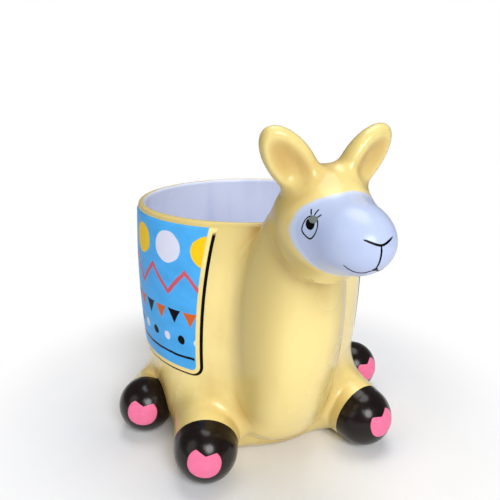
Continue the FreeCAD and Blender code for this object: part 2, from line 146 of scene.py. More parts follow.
class CrockSizes(bpy.types.PropertyGroup):
    """Sizes of the crock; the llama faces -Y and its left is +X"""
    heel_radius: length("Heel radius", "Rounding between the base and the wall", 16.0)
    wall_arc: length("Wall arc", "Radius of the wall's slight belly", 600.0)
    belly_height: length("Belly height", "Height at which the wall is widest", 109.6)
    rim_radius: length("Rim radius", "Outer radius of the pot at its rim", 75.2)
    rim_height: length("Rim height", "Height of the rim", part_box("pot")[1].z * MM)
    lip_thickness: length("Lip thickness", "Thickness of the rounded lip", 4.6)
    wall_thickness: length("Wall thickness", "Thickness of the pot's wall", 5.0)
    floor_thickness: length("Floor thickness", "Thickness of the pot's floor", 7.0)
    floor_corner: length("Floor corner", "Rounding between the floor and the inside of the wall", 12.0)
    shell: length("Shell", "Thickness of the cast pieces' skin", 2.4)
    clearance: length("Floor clearance", "Height of the legs over the floor", 0.6)
    neck_heights: lengths("Neck heights", "Heights of the neck's and chest's ovals",
                          1.5, 12.0, 30.0, 60.0, 100.0, 130.0, 150.0, 165.0, 178.0)
    neck_leads: lengths("Neck leads", "Forward distances of the ovals' centres",
                        36.0, 45.0, 54.0, 64.0, 71.5, 76.5, 86.0, 94.5, 104.0)
    neck_half_widths: lengths("Neck half widths", "Half widths of the ovals",
                              23.5, 28.5, 32.0, 33.0, 33.0, 30.0, 26.0, 22.3, 17.5)
    neck_half_depths: lengths("Neck half depths", "Half depths of the ovals",
                              21.0, 26.0, 28.5, 31.0, 31.5, 29.0, 21.0, 17.5, 12.5)
    neck_fillet: length("Neck fillet", "Width of the fillet between the pot and the chest", 8.0)
    rim_fillet: length("Rim fillet", "Width of the fillet between the lip and the neck", 3.0)
    skull_centre: lengths("Skull centre", "Centre of the skull", 0.0, -112.0, 164.8)
    skull_half: lengths("Skull half size", "Half sizes of the skull", 25.0, 24.5, 29.3)
    skull_tilt: angle("Skull tilt", "Forward tilt of the jaw", 24.0)
    muzzle_centre: lengths("Muzzle centre", "Centre of the muzzle", 0.0, -133.5, 165.0)
    muzzle_half: lengths("Muzzle half size", "Half sizes of the muzzle", 18.6, 27.8, 17.2)
    muzzle_fillet: length("Muzzle fillet", "Width of the fillet between the skull and the muzzle", 9.0)
    head_fillet: length("Head fillet", "Width of the fillet between the neck and the head", 7.0)
    face_half_width: length("Face half width", "Half width of the face's oval, from the front", 23.0)
    face_half_height: length("Face half height", "Half height of the face's oval", 18.7)
    face_height: length("Face height", "Height of the middle of the face's oval", 165.5)
    ear_centre: lengths("Ear centre", "Centre of the left ear", 18.6, -111.5, 195.0)
    ear_half: lengths("Ear half size", "Half sizes of an ear", 10.8, 8.2, 20.0)
    ear_lean: angle("Ear lean", "Outward lean of the ears", 39.0)
    ear_turn: angle("Ear turn", "Outward turn of the ears", 20.0)
    dish_centre: lengths("Dish centre", "Centre of an ear's hollow, from the ear's centre", 0.0, -9.6, 2.5)
    dish_fillet: length("Dish fillet", "Rounding of the hollow's edge", 5.0)
    dish_half: lengths("Dish half size", "Half sizes of an ear's hollow", 7.6, 7.0, 14.5)
    ear_fillet: length("Ear fillet", "Width of the fillet round an ear's root", 6.0)
    front_hoof: lengths("Front hoof", "Centre of the left front hoof", 53.5, -74.0, 19.8)
    front_hoof_radius: length("Front hoof radius", "Radius of a front hoof", 19.2)
    front_leg_length: length("Front leg length", "Length of a front leg", 40.0)
    front_leg_radius: length("Front leg radius", "Radius of a front leg at its root", 23.5)
    front_leg_splay: angle("Front leg splay", "Outward turn of a front leg", 17.5)
    front_leg_drop: angle("Front leg drop", "Fall of a front leg towards its hoof", 9.0)
    rear_hoof: lengths("Rear hoof", "Centre of the left rear hoof", 80.5, -13.0, 18.9)
    rear_hoof_radius: length("Rear hoof radius", "Radius of a rear hoof", 18.3)
    rear_leg_length: length("Rear leg length", "Length of a rear leg", 38.0)
    rear_leg_radius: length("Rear leg radius", "Radius of a rear leg at its root", 15.0)
    rear_leg_splay: angle("Rear leg splay", "Outward turn of a rear leg", 24.0)
    rear_leg_drop: angle("Rear leg drop", "Fall of a rear leg towards its hoof", -5.0)
    leg_fillet: length("Leg fillet", "Width of the fillet round a leg's root", 14.0)
    hoof_back: length("Hoof back", "Distance of a hoof's painted edge behind its centre", 4.0)
    pad_half: length("Pad half width", "Half width of a sole pad", 11.5)
    pad_half_height: length("Pad half height", "Half height of a sole pad", 9.8)
    pad_notch: length("Pad notch", "Height of the notch between a pad's lobes", 5.0)
    pad_roll: angle("Pad roll", "Lift of a pad's outer lobe", 11.0)
    pad_relief: length("Pad relief", "Height of a sole pad over the hoof", 0.5)
    pad_tilt: angle("Pad tilt", "Upward tilt of a sole pad", 12.0)
    pad_splay: angle("Pad splay", "Outward turn of a sole pad", 17.0)
    blanket_top: length("Blanket top", "Height of a blanket's top edge", 154.1)
    blanket_bottom: length("Blanket bottom", "Height of a blanket's bottom edge", 56.4)
    blanket_top_half: length("Blanket top half", "Half width of a blanket's top edge, from the side", 63.6)
    blanket_bottom_half: length("Blanket bottom half", "Half width of a blanket's bottom edge", 56.3)
    left_front_top: length("Left front top", "Lead of the left blanket's front edge at its top", 38.0)
    left_front_bottom: length("Left front bottom", "Lead of the left blanket's front edge at its bottom", 34.0)
    blanket_corner: length("Blanket corner", "Radius of a blanket's lower corners", 9.0)
    blanket_relief: length("Blanket relief", "Height of a blanket over the wall", 0.8)
    tail_centre: lengths("Tail centre", "Centre of the tail", 0.0, 79.0, 104.0)
    tail_half: lengths("Tail half size", "Half sizes of the tail", 10.5, 9.0, 19.0)
    tail_lean: angle("Tail lean", "Backward lean of the tail", 14.0)
    tail_fillet: length("Tail fillet", "Width of the fillet round the tail", 8.0)


class CrockColours(bpy.types.PropertyGroup):
    """Colours of the crock's glazes and paints"""
    butter: colour("Butter", "Yellow glaze of the llama", 248, 226, 149)
    # Olive is painted shade on the flanks, towards the floor and near the top of the wall, and darkens the crown;
    # on the pot it also tints the edges and lip.
    olive: colour("Olive", "The same glaze on shaded flanks and the lip", 198, 176, 106)
    # Honey is pooled glaze and painted shade in hollows and creases, and the airbrushed orange in the ears' dishes.
    honey: colour("Honey", "The same glaze where it pools", 204, 166, 92)
    milk: colour("Milk", "White glaze of the face", 187, 200, 232)
    # Shade is pooled glaze and painted shade on the white face and in the well.
    shade: colour("Shade", "White glaze where it pools", 150, 164, 216)
    well: colour("Well", "Glaze inside the pot", 222, 228, 247)
    hoof: colour("Hoof", "Dark paint of the hooves", 20, 11, 9)
    pad: colour("Pad", "Pink paint of the sole pads", 239, 120, 160)
    sky: colour("Sky", "Blue field of the blankets", 82, 180, 250)
    sun: colour("Sun", "Yellow dots of the blankets", 250, 205, 28)
    pearl: colour("Pearl", "White dots of the blankets", 226, 228, 248)
    rose: colour("Rose", "Zigzag of the blankets", 208, 92, 110)
    rust: colour("Rust", "Orange pennants of the blankets", 214, 102, 44)
    ink: colour("Ink", "Black lines and marks", 6, 5, 6)
    lid: colour("Lid", "Grey of the eyelids", 118, 126, 122)
    floor: colour("Floor", "Pale floor", 244, 244, 246)


def sizes():
    """The sizes in millimetres, and angles in radians."""
    chosen = bpy.context.scene.crock_sizes
    found = {}
    for key in CrockSizes.__annotations__:
        scale = MM if chosen.bl_rna.properties[key].unit == "LENGTH" else 1.0
        found[key] = np.array(getattr(chosen, key)) * scale
    s = SimpleNamespace(**found)
    # The wall is an arc about a point level with the belly; the heel's arc touches the base and the wall.
    lip_height = s.rim_height - s.lip_thickness / 2
    s.wall_axis = s.rim_radius - math.sqrt(s.wall_arc ** 2 - (lip_height - s.belly_height) ** 2)
    s.heel_axis = s.wall_axis + math.sqrt((s.wall_arc - s.heel_radius) ** 2 - (s.belly_height - s.heel_radius) ** 2)
    s.heel_slope = (s.belly_height - s.heel_radius) / (s.heel_axis - s.wall_axis)
    return s


def palette():
    """The colours as plain tuples."""
    chosen = bpy.context.scene.crock_colours
    return SimpleNamespace(**{key: tuple(getattr(chosen, key)) for key in CrockColours.__annotations__})


# Forms, as fields in millimetres that are negative inside.


def blend(a, b, width):
    """Two forms joined with a fillet."""
    near = np.clip(width - np.abs(a - b), 0, None) / width
    return np.minimum(a, b) - near * near * width / 4


def ellipsoid(p, half):
    """An ellipsoid about the origin."""
    reach = np.linalg.norm(p / half, axis=1)
    slope = np.linalg.norm(p / half ** 2, axis=1)
    return reach * (reach - 1) / np.maximum(slope, 1e-9)


def turn(axis, radians):
    """A turn about an axis, as a matrix."""
    return np.array(Matrix.Rotation(radians, 3, axis))


def smooth(t):
    """A smooth step from 0 to 1."""
    t = np.clip(t, 0, 1)
    return t * t * (3 - 2 * t)


def through(z, heights, values):
    """A smooth curve through values given at heights."""
    slopes = np.gradient(values, heights)
    i = np.clip(np.searchsorted(heights, z) - 1, 0, len(heights) - 2)
    gap = heights[i + 1] - heights[i]
    t = np.clip((z - heights[i]) / gap, 0, 1)
    return ((2 * t ** 3 - 3 * t ** 2 + 1) * values[i] + (t ** 3 - 2 * t ** 2 + t) * gap * slopes[i]
            + (3 * t ** 2 - 2 * t ** 3) * values[i + 1] + (t ** 3 - t ** 2) * gap * slopes[i + 1])


def from_axis(p):
    """Distance from the pot's axis."""
    return np.hypot(p[:, 0], p[:, 1])


def wall_radius(z, s):
    return s.wall_axis + np.sqrt(s.wall_arc ** 2 - (z - s.belly_height) ** 2)


def pot_form(p, s):
    """The pot as if it were filled to the rim."""
    r, z = from_axis(p), p[:, 2]
    half = s.lip_thickness / 2
    wall = np.hypot(r - s.wall_axis, z - s.belly_height) - s.wall_arc
    heel = np.hypot(r - s.heel_axis, z - s.heel_radius) - s.heel_radius
    low = (r > s.heel_axis) & (z - s.heel_radius < -s.heel_slope * (r - s.heel_axis))
    side = np.where(low, heel, np.maximum(np.maximum(wall, -z), z - s.rim_height))
    lip = np.hypot(r - s.rim_radius + half, z - s.rim_height + half) - half
    high = (z > s.rim_height - half) & (r > s.rim_radius - half)
    return np.where(high, lip, side)


def rim_form(p, s):
    """The pot with its well open below a lip that is rounded inwards too."""
    half, open_depth = s.lip_thickness / 2, 20
    inner, high = s.rim_radius - half - from_axis(p), p[:, 2] - s.rim_height + half
    lip = np.hypot(inner, np.maximum(high, 0)) - half
    return np.where((inner > 0) & (high > -open_depth), lip, pot_form(p, s))


def neck_form(p, s):
    """The neck and chest, an upright column of ovals with a rounded top."""
    top_rounding = 14.0
    z = np.clip(p[:, 2], s.neck_heights[0], s.neck_heights[-1])
    lead = through(z, s.neck_heights, s.neck_leads)
    width = through(z, s.neck_heights, s.neck_half_widths)
    depth = through(z, s.neck_heights, s.neck_half_depths)
    ring = np.sqrt((p[:, 0] / width) ** 2 + ((p[:, 1] + lead) / depth) ** 2)
    column = (ring - 1) * np.minimum(width, depth)
    column = -blend(-column, s.neck_heights[-1] - p[:, 2], top_rounding)
    return np.maximum(column, s.clearance - p[:, 2])


def body_fillet(p, s):
    """The fillet between the pot and the neck narrows towards the lip and goes out at the lip's inner edge."""
    start, run, least = 22, 18, 0.4
    wide = s.neck_fillet + (s.rim_fillet - s.neck_fillet) * smooth((p[:, 2] - s.rim_height + start) / run)
    over = from_axis(p) - s.rim_radius + s.lip_thickness
    return least + (wide - least) * smooth(over / s.lip_thickness)


def body_form(p, s):
    """The pot with the neck and chest."""
    return blend(pot_form(p, s), neck_form(p, s), body_fillet(p, s))


def head_form(p, s):
    skull = ellipsoid((p - s.skull_centre) @ turn("X", -s.skull_tilt), s.skull_half)
    muzzle = ellipsoid(p - s.muzzle_centre, s.muzzle_half)
    return blend(skull, muzzle, s.muzzle_fillet)


def face_form(p, s):
    """What lies in the face's oval, seen from the front."""
    ring = np.hypot(p[:, 0] / s.face_half_width, (p[:, 2] - s.face_height) / s.face_half_height)
    return np.maximum((ring - 1) * s.face_half_height, p[:, 1] - s.skull_centre[1])


def in_ear(p, s, side):
    """Points as seen from an ear's centre, along its own axes."""
    return (p * (side, 1, 1) - s.ear_centre) @ turn("Y", s.ear_lean) @ turn("Z", s.ear_turn)


def dish_form(p, s, side):
    return ellipsoid(in_ear(p, s, side) - s.dish_centre, s.dish_half)


def ear_form(p, s, side):
    return -blend(-ellipsoid(in_ear(p, s, side), s.ear_half), dish_form(p, s, side), s.dish_fillet)


def leg_axis(s, end):
    """Direction of the left leg from its root to its hoof."""
    splay, drop = getattr(s, end + "_leg_splay"), getattr(s, end + "_leg_drop")
    return np.array([math.sin(splay) * math.cos(drop), -math.cos(splay) * math.cos(drop), -math.sin(drop)])


def leg_form(p, s, end, side):
    hoof, axis = getattr(s, end + "_hoof"), leg_axis(s, end)
    reach = getattr(s, end + "_leg_length")
    q = p * (side, 1, 1) - hoof
    t = np.clip(-(q @ axis) / reach, 0, 1)
    thick = getattr(s, end + "_hoof_radius") * (1 - t) + getattr(s, end + "_leg_radius") * t
    cone = np.linalg.norm(q + t[:, None] * reach * axis, axis=1) - thick
    return np.maximum(cone, s.clearance - p[:, 2])


def tail_form(p, s):
    return ellipsoid((p - s.tail_centre) @ turn("X", -s.tail_lean), s.tail_half)


def bare_form(p, s):
    """The pot with the neck, chest and head."""
    return blend(body_form(p, s), head_form(p, s), s.head_fillet)


def llama_form(p, s):
    """The whole crock, for where glaze pools."""
    whole = bare_form(p, s)
    for side in SIDES.values():
        whole = blend(whole, ear_form(p, s, side), s.ear_fillet)
        for end in ENDS:
            whole = blend(whole, leg_form(p, s, end, side), s.leg_fillet)
    return blend(whole, tail_form(p, s), s.tail_fillet)


# Meshes: points in millimetres and faces of four corners, the last repeated in a triangle.


def slope_of(form, p):
    """Gradient of a form."""
    offsets = np.eye(3) * SLOPE_STEP
    return np.stack([(form(p + off) - form(p - off)) / (2 * SLOPE_STEP) for off in offsets], 1)


def unit(v):
    return v / np.maximum(np.linalg.norm(v, axis=1, keepdims=True), 1e-9)


def settle(form, p, rounds=3):
    """Points moved onto a form's surface."""
    for _ in range(rounds):
        g = slope_of(form, p)
        p = p - np.clip(form(p), -2, 2)[:, None] * g / np.maximum((g * g).sum(1, keepdims=True), 0.05)
    return p


def edges_of(faces):
    """Directed edges of the faces, and whether each is on the boundary."""
    pairs = np.concatenate([np.stack([faces[:, i], faces[:, (i + 1) % 4]], 1) for i in range(4)])
    pairs = pairs[pairs[:, 0] != pairs[:, 1]]
    _, where, times = np.unique(np.sort(pairs, 1), axis=0, return_inverse=True, return_counts=True)
    return pairs, times[where.ravel()] == 1


def skin(form, low, high, step):
    """Mesh of a form's surface inside a box, evened out."""
    axes = [np.arange(a, b + step, step) for a, b in zip(low, high)]
    grid = np.stack(np.meshgrid(*axes, indexing="ij"), -1)
    volume = openvdb.FloatGrid(50.0)
    volume.copyFromArray(form(grid.reshape(-1, 3)).reshape(grid.shape[:3]).astype(np.float32))
    points, faces = volume.convertToQuads(0.0)
    cap = ((points < 0.75) | (points > np.array(grid.shape[:3]) - 1.75)).any(1)
    faces = faces[~cap[faces].any(1)].astype(np.int64)
    points = settle(form, points * step + np.array(low))
    pairs, _ = edges_of(faces)
    both = np.concatenate([pairs, pairs[:, ::-1]])
    count = np.maximum(np.bincount(both[:, 0], minlength=len(points)), 1)[:, None]
    for _ in range(4):
        mean = np.stack([np.bincount(both[:, 0], points[both[:, 1], k], len(points)) for k in range(3)], 1) / count
        points = settle(form, points + 0.5 * (mean - points), 1)
    return settle(form, points, 2), faces


def part_along(points, faces, form, line):
    """The mesh parted along the zero line of a second field: points, faces where it is positive, the others."""
    value = line(points)
    pairs, _ = edges_of(faces)
    pairs = pairs[value[pairs[:, 0]] * value[pairs[:, 1]] < 0]
    nearer = np.abs(value[pairs[:, 0]]) < np.abs(value[pairs[:, 1]])
    on = np.unique(np.where(nearer, pairs[:, 0], pairs[:, 1]))
    q = points[on]
    for _ in range(4):
        normal, g = unit(slope_of(form, q)), slope_of(line, q)
        along = g - (g * normal).sum(1, keepdims=True) * normal
        q = q - line(q)[:, None] * along / np.maximum((along * along).sum(1, keepdims=True), 0.05)
        q = settle(form, q, 1)
    points[on] = q
    value[on] = 0
    sign = np.sign(value)[faces]
    torn = (sign.min(1) < 0) & (sign.max(1) > 0)
    split = [faces[~torn]]
    for face, mark in zip(faces[torn], sign[torn]):
        first = 0 if mark[0] == 0 else 1
        a, b, c, d = np.roll(face, -first)
        split.append(np.array([[a, b, c, c], [a, c, d, d]]))
    faces = np.concatenate(split)
    middle = np.sign(value)[faces].sum(1)
    return points, faces[middle > 0], faces[middle <= 0]


def turned(faces):
    """The faces turned over."""
    return np.where((faces[:, 3] == faces[:, 2])[:, None], faces[:, [2, 1, 0, 0]], faces[:, ::-1])


def shell(points, faces, normals, thickness, outward=None):
    """A closed skin of some thickness under the faces, laid along the normals or another direction outward."""
    used, faces = np.unique(faces, return_inverse=True)
    faces = faces.reshape(-1, 4)
    outward = (normals if outward is None else outward)[used]
    points, normals = points[used], normals[used]
    count = len(points)
    pairs, single = edges_of(faces)
    rim = pairs[single]
    sides = np.stack([rim[:, 1], rim[:, 0], rim[:, 0] + count, rim[:, 1] + count], 1)
    under = turned(faces) + count
    return (np.concatenate([points, points - outward * thickness]), np.concatenate([faces, under, sides]),
            np.concatenate([normals, -normals]))


def mirror(piece):
    """The same piece on the other side."""
    points, faces, normals = piece
    return points * (-1, 1, 1), turned(faces), normals * (-1, 1, 1)


def grown(base, own, fillet, low, high, step):
    """A form grown out of another: the mesh of all that stands over the base, the two forms joined, and the
    distance past the fillet's edge."""

    def width(p):
        return fillet(p) if callable(fillet) else fillet

    def joined(p):
        return np.maximum(blend(base(p), own(p), width(p)), 0.5 - p[:, 2])

    def past(p):
        return own(p) - base(p) - width(p)

    points, faces = skin(joined, low, high, step)
    keep = (past(points) < RUN_ON) & (base(points) > -TUCK)
    return points, faces[keep[faces].all(1)], joined, past


def tucked(points, joined, past):
    """The points with the feather edge sunk just under the base, and their normals."""
    normals = unit(slope_of(joined, points))
    return points - normals * TUCK * smooth(past(points) / 1.6 + 1)[:, None], normals


def set_piece(name, piece, materials, node, marks=None, zones=None):
    """A mesh object from a piece in millimetres, standing for a node of the frame."""
    points, faces, normals = piece
    mesh = bpy.data.meshes.new(name)
    corners = [tuple(f[:3]) if f[3] == f[2] else tuple(f) for f in faces.tolist()]
    mesh.from_pydata((points / MM).tolist(), [], corners)
    for material in materials:
        mesh.materials.append(material)
    if zones is not None:
        mesh.polygons.foreach_set("material_index", zones.astype(np.int32))
    mesh.shade_smooth()
    # A face that a point's normal doesn't fit, such as a cut edge's, is lit by its own slope.
    flat = np.empty((len(corners), 3), np.float32)
    mesh.polygons.foreach_get("normal", flat.ravel())
    flat = np.repeat(flat, [len(c) for c in corners], 0)
    own = unit(normals)[np.concatenate(corners)]
    fits = (own * flat).sum(1, keepdims=True) > 0.3
    mesh.normals_split_custom_set(np.where(fits, own, flat).tolist())
    for word, values in (marks or {}).items():
        kind = "FLOAT" if values.ndim == 1 else "FLOAT_VECTOR"
        layer = mesh.attributes.new(word, kind, "POINT")
        layer.data.foreach_set("value" if values.ndim == 1 else "vector", values.astype(np.float32).ravel())
    mesh.update()
    obj = bpy.data.objects.new(name, mesh)
    bpy.context.scene.collection.objects.link(obj)
    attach(obj, "root")
    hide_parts(node)


def pooling_and_painted_light(piece, s):
    """How far each point lies in a hollow, where glaze gathers and shade is painted, on an edge, where it runs thin
    and a highlight is painted, and on a flank, where shade is painted.
    """
    points, _, normals = piece
    z = points[:, 2]
    across = unit(np.cross(normals, np.where(np.abs(normals[:, 2:]) < 0.8, UP, (1.0, 0.0, 0.0))))
    along = np.cross(normals, across)
    # Hollow: glaze pooled in creases, which also paints the shade that falls there.
    hollow = np.zeros(len(points))
    for reach, weight in PROBES:
        for a in np.linspace(0, 2 * math.pi, PROBE_COUNT, endpoint=False):
            way = normals + math.cos(a) * across + math.sin(a) * along
            hollow += weight / PROBE_COUNT * np.clip(1 - llama_form(points + reach * way, s) / reach, -0.5, 2)
    near_leg = np.min([leg_form(points, s, end, side) for end in ENDS for side in SIDES.values()], axis=0)
    hollow *= 1 - 0.55 * smooth(1 - near_leg / 6)
    # Edge: glaze running thin, which on the yellow also paints a highlight.
    edge = 1 + llama_form(points - normals * EDGE_DEPTH, s) / EDGE_DEPTH
    # Flank: painted shade on sideways-facing surfaces, darker towards the floor and near the top of the wall, and
    # darker on the crown.
    beside = smooth((np.abs(normals[:, 0]) - 0.25) / 0.6) * smooth(pot_form(points, s) / 9)
    foot = 0.8 * smooth(1 - z / 32)
    crown = 0.35 * smooth((z - 176) / 14)
    on_wall = np.abs(from_axis(points) - s.rim_radius) < 6
    upper_wall = np.where(on_wall, 0.55 * smooth((z - 112) / 36), 0)
    flank = np.max([beside, foot, crown, upper_wall], axis=0)
    return {"hollow": np.clip(hollow, 0, 1), "edge": np.clip(edge, 0, 1), "flank": flank}


# Materials.


class Tree:
    """A short way to lay out nodes."""

    def __init__(self, tree):
        self.tree = tree

    def node(self, kind, settings=None, **inputs):
        made = self.tree.nodes.new("ShaderNode" + kind)
        for key, value in (settings or {}).items():
            setattr(made, key, value)
        for key, value in inputs.items():
            self.put(made.inputs[key.replace("_", " ")], value)
        return made

    def put(self, socket, value):
        if isinstance(value, bpy.types.NodeSocket):
            self.tree.links.new(value, socket)
        elif socket.type == "RGBA" and len(value) == 3:
            socket.default_value = (*value, 1.0)
        else:
            socket.default_value = value

    def math(self, operation, *values):
        made = self.tree.nodes.new("ShaderNodeMath")
        made.operation = operation
        for socket, value in zip(made.inputs, values):
            self.put(socket, value)
        return made.outputs[0]

    def add(self, a, b):
        return self.math("ADD", a, b)

    def minus(self, a, b):
        return self.math("SUBTRACT", a, b)

    def times(self, a, b):
        return self.math("MULTIPLY", a, b)

    def over(self, a, b):
        return self.math("DIVIDE", a, b)

    def size(self, a):
        return self.math("ABSOLUTE", a)

    def far(self, x, y):
        """Distance of a point from the origin."""
        return self.math("SQRT", self.add(self.times(x, x), self.times(y, y)))

    def mix(self, factor, a, b):
        made = self.tree.nodes.new("ShaderNodeMix")
        made.data_type = "RGBA"
        for socket, value in zip((made.inputs[0], made.inputs[6], made.inputs[7]), (factor, a, b)):
            self.put(socket, value)
        return made.outputs[2]

    def mix_shaders(self, factor, a, b):
        made = self.node("MixShader")
        for socket, value in zip(made.inputs, (factor, a.outputs[0], b.outputs[0])):
            self.put(socket, value)
        return made.outputs[0]

    def ramp(self, value, start, end, low=0.0, high=1.0):
        """A smooth step from low to high."""
        made = self.node("MapRange", {"interpolation_type": "SMOOTHSTEP"})
        for socket, number in zip(made.inputs, (value, start, end, low, high)):
            self.put(socket, number)
        return made.outputs[0]

    def noise(self, vector, scale, detail=2.0, roughness=0.5):
        made = self.node("TexNoise", Vector=vector, Scale=scale, Detail=detail, Roughness=roughness)
        return made.outputs["Fac"]

    def place(self, stretch=(1.0, 1.0, 1.0)):
        """Object coordinates, stretched."""
        coordinates = self.node("TexCoord").outputs["Object"]
        return self.node("Mapping", Vector=coordinates, Scale=stretch).outputs[0]

    def read(self, word, output="Fac"):
        return self.node("Attribute", {"attribute_name": word}).outputs[output]


def fresh_tree(owner):
    """An empty node tree of a material or world."""
    owner.use_nodes = True
    owner.node_tree.nodes.clear()
    return Tree(owner.node_tree)


def group(name, inputs, outputs, fill):
    """A node group, built once."""
    found = bpy.data.node_groups.get(name)
    if found:
        return found
    made = bpy.data.node_groups.new(name, "ShaderNodeTree")
    for socket, kind in inputs:
        made.interface.new_socket(socket, in_out="INPUT", socket_type="NodeSocket" + kind)
    for socket, kind in outputs:
        made.interface.new_socket(socket, in_out="OUTPUT", socket_type="NodeSocket" + kind)
    tree = Tree(made)
    results = fill(tree, made.nodes.new("NodeGroupInput"))
    end = made.nodes.new("NodeGroupOutput")
    for socket, value in results.items():
        tree.put(end.inputs[socket], value)
    return made


def glaze_skin():
    """The shared look of a fired glaze: it pools in hollows, with painted shade, thins on edges, with painted
    highlights, runs a little and isn't quite flat.
    """

    def fill(t, given):
        place = t.place()
        cloud = t.noise(place, 24.0, 3.0)
        runs = t.noise(t.place((1.0, 1.0, 0.12)), 60.0, 2.0)
        drift = t.add(t.ramp(cloud, 0.3, 0.75, -0.08, 0.16), t.ramp(runs, 0.3, 0.7, -0.06, 0.16))
        # Hollows take the pooled tint: pooled glaze and painted shade.
        depth = t.add(t.times(given.outputs["Hollow"], 0.66), drift)
        tint = t.mix(t.ramp(depth, 0.0, 0.95), given.outputs["Colour"], given.outputs["Pooled"])
        # Edges take the thin tint: thin glaze, and a painted highlight where that tint is lighter.
        thin_and_highlit = t.times(given.outputs["Edge"], t.ramp(cloud, 0.35, 0.65, 0.35, 0.8))
        tint = t.mix(thin_and_highlit, tint, given.outputs["Thin"])
        specks = t.ramp(t.noise(place, 1300.0, 1.0), 0.73, 0.78, 0.0, 0.22)
        tint = t.mix(specks, tint, given.outputs["Pooled"])
        peel = t.noise(place, 190.0, 2.0)
        swell = t.noise(place, 42.0, 1.0)
        height = t.add(t.times(peel, 0.25), swell)
        return {"Colour": tint, "Roughness": t.ramp(cloud, 0.3, 0.7, 0.1, 0.19), "Height": height}

    return group("glaze_skin", [("Colour", "Color"), ("Pooled", "Color"), ("Thin", "Color"), ("Hollow", "Float"),
                                ("Edge", "Float")],
                 [("Colour", "Color"), ("Roughness", "Float"), ("Height", "Float")], fill)


def face_patch():
    """Where the white of the face lies, an oval from the front, and a painted highlight line along its edge."""

    def fill(t, given):
        x, y, z = t.node("SeparateXYZ", Vector=t.place((MM, MM, MM))).outputs
        across = t.over(x, given.outputs["Half Width"])
        up = t.over(t.minus(z, given.outputs["Height"]), given.outputs["Half Height"])
        inside = t.times(t.minus(1.0, t.far(across, up)), given.outputs["Half Height"])
        inside = t.add(inside, t.ramp(t.noise(t.place(), 60.0), 0.3, 0.7, -0.3, 0.3))
        ahead = t.math("LESS_THAN", y, given.outputs["Back"])
        line = t.times(t.ramp(inside, -2.4, -0.6), t.ramp(inside, 1.3, 0.5))
        mask = t.ramp(inside, -0.45, 0.45)
        return {"Mask": t.times(mask, ahead), "Line": t.times(line, ahead)}

    return group("face_patch", [(word, "Float") for word in ("Half Width", "Half Height", "Height", "Back")],
                 [("Mask", "Float"), ("Line", "Float")], fill)


def glaze(name, colours, prepare=None, coat=0.4, dull=0.1, shine=0.25, soft=0.08):
    """A glossy glaze from a colour, its tint in hollows, for pooled glaze and painted shade, and its tint on edges,
    for thin glaze and painted highlights; prepare may change the three.
    """
    material = bpy.data.materials.new(name)
    t = fresh_tree(material)
    base, pooled, thin = prepare(t, *colours) if prepare else colours
    look = t.node("Group", {"node_tree": glaze_skin()}, Colour=base, Pooled=pooled, Thin=thin,
                  Hollow=t.read("hollow"), Edge=t.read("edge"))
    bump = t.node("Bump", Height=look.outputs["Height"], Strength=0.1, Distance=0.0004)
    rough = t.add(look.outputs["Roughness"], dull)
    body = t.node("BsdfPrincipled", Base_Color=look.outputs["Colour"], Roughness=rough, IOR=1.5,
                  Specular_IOR_Level=shine, Coat_Weight=coat, Coat_Roughness=soft, Coat_IOR=1.45,
                  Normal=bump.outputs[0])
    t.node("OutputMaterial", Surface=body.outputs[0]).is_active_output = True
    return material


def tone(seen, amount):
    """A colour made lighter or darker."""
    return tuple(min(1.0, c * amount) for c in seen)


def shaded(t, seen):
    """The yellow glaze, darkened on the flanks with painted shade."""
    return t.mix(t.times(t.read("flank"), FLANK_SHADE), seen, palette().olive)


def yellow():
    """The yellow glaze, its tint in hollows, for pooled glaze and painted shade, and its lighter tint on edges, for
    thin glaze and painted highlights.
    """
    c = palette()
    return c.butter, c.honey, tone(c.butter, THIN_GLAZE_AND_HIGHLIGHT)


def butter_glaze():
    """The llama's yellow glaze, made once."""

    def prepare(t, base, pooled, thin):
        return shaded(t, base), pooled, shaded(t, thin)

    return bpy.data.materials.get("butter_skin") or glaze("butter_skin", yellow(), prepare)


def patched_glaze(name):
    """Yellow behind the face's edge and white ahead of it."""
    c = palette()

    def prepare(t, base, pooled, thin):
        s = sizes()
        mask, line = t.node("Group", {"node_tree": face_patch()}, Half_Width=float(s.face_half_width),
                            Half_Height=float(s.face_half_height), Height=float(s.face_height),
                            Back=float(s.skull_centre[1])).outputs
        # A painted highlight runs along the face's edge, lighter on both the white and the yellow side.
        line = t.times(line, 0.45)
        white = t.mix(line, c.milk, tone(c.milk, 1.4))
        yellow = t.mix(line, shaded(t, base), tone(c.butter, 1.05))
        return t.mix(mask, yellow, white), t.mix(mask, pooled, c.shade), t.mix(mask, yellow, white)

    return glaze(name, yellow(), prepare, 0.25, 0.16)


def pot_glaze():
    """Yellow outside and over the lip, bluish white inside."""
    c = palette()

    def prepare(t, base, pooled, thin):
        ragged = t.ramp(t.noise(t.place(), 55.0), 0.3, 0.7, -0.4, 0.4)
        inside = t.ramp(t.add(t.read("inward"), ragged), -0.6, 0.6)
        return (t.mix(inside, shaded(t, base), c.well), t.mix(inside, pooled, c.shade),
                t.mix(inside, thin, c.milk))

    return glaze("pot_skin", (c.butter, c.honey, c.olive), prepare)


def painted(name, seen, deep, light, coat=0.0):
    """Brushed colour under the glaze, with the strokes just showing."""

    def prepare(t, base, pooled, thin):
        strokes = t.noise(t.place((1.0, 1.0, 2.2)), 150.0, 4.0, 0.65)
        return t.mix(t.ramp(strokes, 0.35, 0.72), base, light), pooled, thin

    return glaze(name, (seen, deep, light), prepare, coat, 0.14, 0.08, 0.2)


